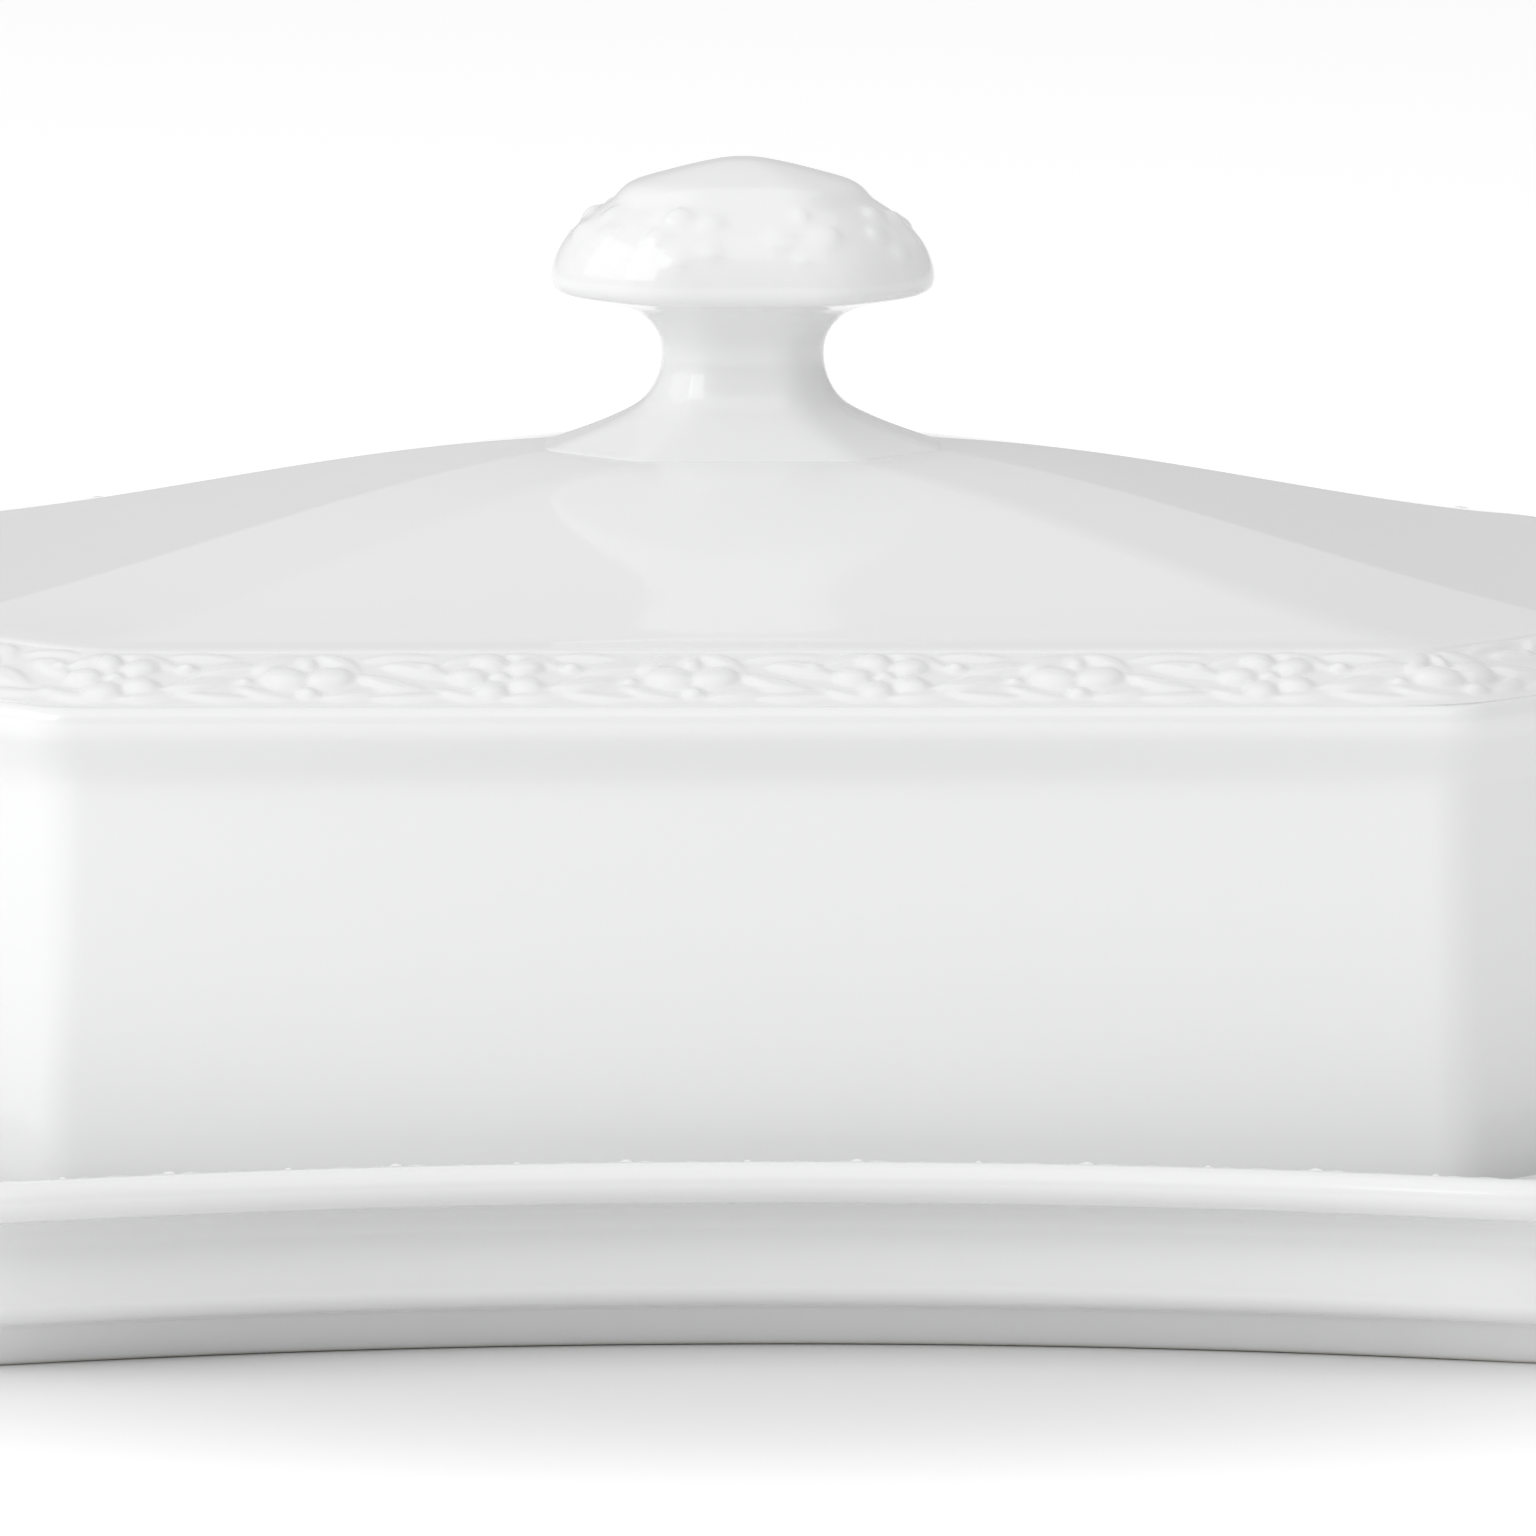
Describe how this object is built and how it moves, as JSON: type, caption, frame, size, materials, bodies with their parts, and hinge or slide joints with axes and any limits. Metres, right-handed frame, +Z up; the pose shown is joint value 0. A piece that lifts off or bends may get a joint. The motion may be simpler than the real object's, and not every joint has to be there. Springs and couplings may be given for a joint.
{
  "type": "butter dish",
  "caption": "Covered butter dish in white glazed porcelain: a canted lid with a relief band and a waisted knob, on a tray with hollow sides and a footed rim.",
  "frame": {"origin": "centre of the footprint on the table, under the foot ring", "axes": "+X along the long side, +Y towards the back, +Z up; the front faces -Y"},
  "size_m": [0.1862, 0.1572, 0.0862],
  "materials": {
    "base_glaze": "glossy clear glaze on white porcelain, bare foot ring",
    "lid_glaze": "glossy clear glaze on white porcelain",
    "knob_glaze": "glossy clear glaze on white porcelain"
  },
  "bodies": {
    "base": {"base_dish": "base_glaze"},
    "lid": {"lid_shell": "lid_glaze", "lid_knob": "knob_glaze"}
  },
  "joints": [
    {"name": "lid_lift", "type": "slide", "parent": "base", "child": "lid", "axis": [0, 0, 1], "range_m": [0, 0.1]}
  ]
}
